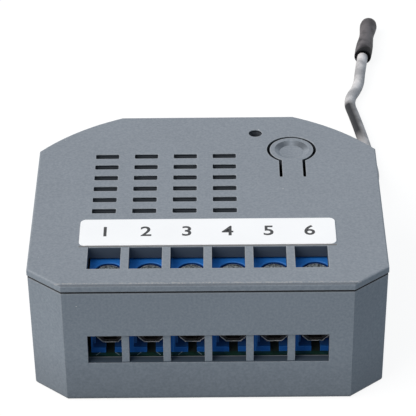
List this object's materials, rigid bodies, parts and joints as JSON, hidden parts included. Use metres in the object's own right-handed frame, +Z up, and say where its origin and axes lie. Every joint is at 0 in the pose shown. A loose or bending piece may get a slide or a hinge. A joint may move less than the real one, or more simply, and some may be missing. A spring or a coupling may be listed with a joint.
{
  "type": "smart relay module",
  "caption": "Flush-box relay module: moulded case with a push-button tongue, vents, a row of screw clamp terminals and a wire antenna lying behind.",
  "frame": {"origin": "middle of the underside of the case, without the antenna wire", "axes": "+X to the right seen from the terminal side, +Y from the terminals to the rear, +Z up through the lid"},
  "size_m": [0.0532, 0.1036, 0.0194],
  "materials": {
    "housing_plastic": "moulded, fine matt grain",
    "label_film": "satin printed film",
    "block_plastic": "moulded, semi-gloss",
    "zinc_steel": "zinc plated",
    "tinned_copper": "tinned",
    "board_laminate": "green solder mask",
    "solder": "bright solder",
    "relay_plastic": "black moulding",
    "coil_copper": "enamelled wire",
    "magnet_iron": "bare iron",
    "capacitor_sleeve": "shrunk sleeve",
    "ferrite": "pressed and fired",
    "chip_epoxy": "moulded epoxy",
    "varistor_coat": "dipped coating",
    "resistor_coat": "fired coating",
    "shield_tin": "tin plate",
    "switch_plastic": "moulded",
    "led_lens": "clear dome, unlit",
    "wire_insulation": "smooth",
    "shrink_cap": "heat shrunk"
  },
  "bodies": {
    "housing": {"base_shell": "housing_plastic", "lid_shell": "housing_plastic", "terminal_label": "label_film", "main_board": "board_laminate", "solder_joints": "solder", "terminal_contacts": "tinned_copper", "relay_cover": "relay_plastic", "relay_base": "relay_plastic", "relay_coil_pins": "tinned_copper", "relay_bobbin": "relay_plastic", "relay_winding": "coil_copper", "relay_core": "magnet_iron", "relay_yoke": "magnet_iron", "relay_contact_open": "tinned_copper", "relay_contact_closed": "tinned_copper", "bulk_capacitor": "capacitor_sleeve", "transformer_base": "relay_plastic", "transformer_core": "ferrite", "transformer_winding": "coil_copper", "output_capacitor": "capacitor_sleeve", "choke_core": "ferrite", "choke_winding": "coil_copper", "varistor": "varistor_coat", "fusible_resistor": "resistor_coat", "bridge_rectifier": "chip_epoxy", "power_chip": "chip_epoxy", "voltage_regulator": "chip_epoxy", "optocoupler": "chip_epoxy", "radio_board": "board_laminate", "radio_shield": "shield_tin", "radio_chip": "chip_epoxy", "radio_crystal": "shield_tin", "tact_switch_body": "switch_plastic", "tact_switch_frame": "shield_tin", "status_led": "led_lens", "led_spacer": "switch_plastic", "antenna_lead": "wire_insulation", "antenna_wire": "wire_insulation", "antenna_cap": "shrink_cap", "terminal_block_1": "block_plastic", "terminal_block_2": "block_plastic", "terminal_block_3": "block_plastic"},
    "screw_1": {"clamp_screw_1": "zinc_steel"},
    "cage_1": {"clamp_cage_1": "zinc_steel"},
    "screw_2": {"clamp_screw_2": "zinc_steel"},
    "cage_2": {"clamp_cage_2": "zinc_steel"},
    "screw_3": {"clamp_screw_3": "zinc_steel"},
    "cage_3": {"clamp_cage_3": "zinc_steel"},
    "screw_4": {"clamp_screw_4": "zinc_steel"},
    "cage_4": {"clamp_cage_4": "zinc_steel"},
    "screw_5": {"clamp_screw_5": "zinc_steel"},
    "cage_5": {"clamp_cage_5": "zinc_steel"},
    "screw_6": {"clamp_screw_6": "zinc_steel"},
    "cage_6": {"clamp_cage_6": "zinc_steel"},
    "button": {"button_tongue": "housing_plastic"},
    "switch_plunger": {"tact_switch_plunger": "switch_plastic"},
    "armature": {"relay_armature": "magnet_iron", "relay_blade": "tinned_copper"}
  },
  "joints": [
    {"name": "screw_1_turn", "type": "hinge", "parent": "housing", "child": "screw_1", "pos_m": [-0.01323, -0.0149, 0.01535], "axis": [0, 0, -1], "range_deg": [0, 1440]},
    {"name": "cage_1_lift", "type": "slide", "parent": "housing", "child": "cage_1", "axis": [0, 0, 1], "range_m": [0, 0.0018]},
    {"name": "screw_2_turn", "type": "hinge", "parent": "housing", "child": "screw_2", "pos_m": [-0.00769, -0.0149, 0.01535], "axis": [0, 0, -1], "range_deg": [0, 1440]},
    {"name": "cage_2_lift", "type": "slide", "parent": "housing", "child": "cage_2", "axis": [0, 0, 1], "range_m": [0, 0.0018]},
    {"name": "screw_3_turn", "type": "hinge", "parent": "housing", "child": "screw_3", "pos_m": [-0.00216, -0.0149, 0.01535], "axis": [0, 0, -1], "range_deg": [0, 1440]},
    {"name": "cage_3_lift", "type": "slide", "parent": "housing", "child": "cage_3", "axis": [0, 0, 1], "range_m": [0, 0.0018]},
    {"name": "screw_4_turn", "type": "hinge", "parent": "housing", "child": "screw_4", "pos_m": [0.00336, -0.0149, 0.01535], "axis": [0, 0, -1], "range_deg": [0, 1440]},
    {"name": "cage_4_lift", "type": "slide", "parent": "housing", "child": "cage_4", "axis": [0, 0, 1], "range_m": [0, 0.0018]},
    {"name": "screw_5_turn", "type": "hinge", "parent": "housing", "child": "screw_5", "pos_m": [0.0089, -0.0149, 0.01535], "axis": [0, 0, -1], "range_deg": [0, 1440]},
    {"name": "cage_5_lift", "type": "slide", "parent": "housing", "child": "cage_5", "axis": [0, 0, 1], "range_m": [0, 0.0018]},
    {"name": "screw_6_turn", "type": "hinge", "parent": "housing", "child": "screw_6", "pos_m": [0.01443, -0.0149, 0.01535], "axis": [0, 0, -1], "range_deg": [0, 1440]},
    {"name": "cage_6_lift", "type": "slide", "parent": "housing", "child": "cage_6", "axis": [0, 0, 1], "range_m": [0, 0.0018]},
    {"name": "button_press", "type": "hinge", "parent": "housing", "child": "button", "pos_m": [0.012, 0.00504, 0.0193], "axis": [-1, 0, 0], "range_deg": [0, 2], "stiffness_Nm_per_rad": 0.15},
    {"name": "plunger_slide", "type": "slide", "parent": "housing", "child": "switch_plunger", "axis": [0, 0, -1], "range_m": [0, 0.000288]},
    {"name": "armature_pull", "type": "hinge", "parent": "housing", "child": "armature", "pos_m": [-0.00829, -0.0054, 0.0155], "axis": [0, 1, 0], "range_deg": [0, 4], "stiffness_Nm_per_rad": 0.02}
  ],
  "couplings": [
    {"joint": "screw_1_turn", "follows": "cage_1_lift", "rad_per_m": 13963},
    {"joint": "screw_2_turn", "follows": "cage_2_lift", "rad_per_m": 13963},
    {"joint": "screw_3_turn", "follows": "cage_3_lift", "rad_per_m": 13963},
    {"joint": "screw_4_turn", "follows": "cage_4_lift", "rad_per_m": 13963},
    {"joint": "screw_5_turn", "follows": "cage_5_lift", "rad_per_m": 13963},
    {"joint": "screw_6_turn", "follows": "cage_6_lift", "rad_per_m": 13963},
    {"joint": "button_press", "follows": "plunger_slide", "rad_per_m": 121.21}
  ]
}
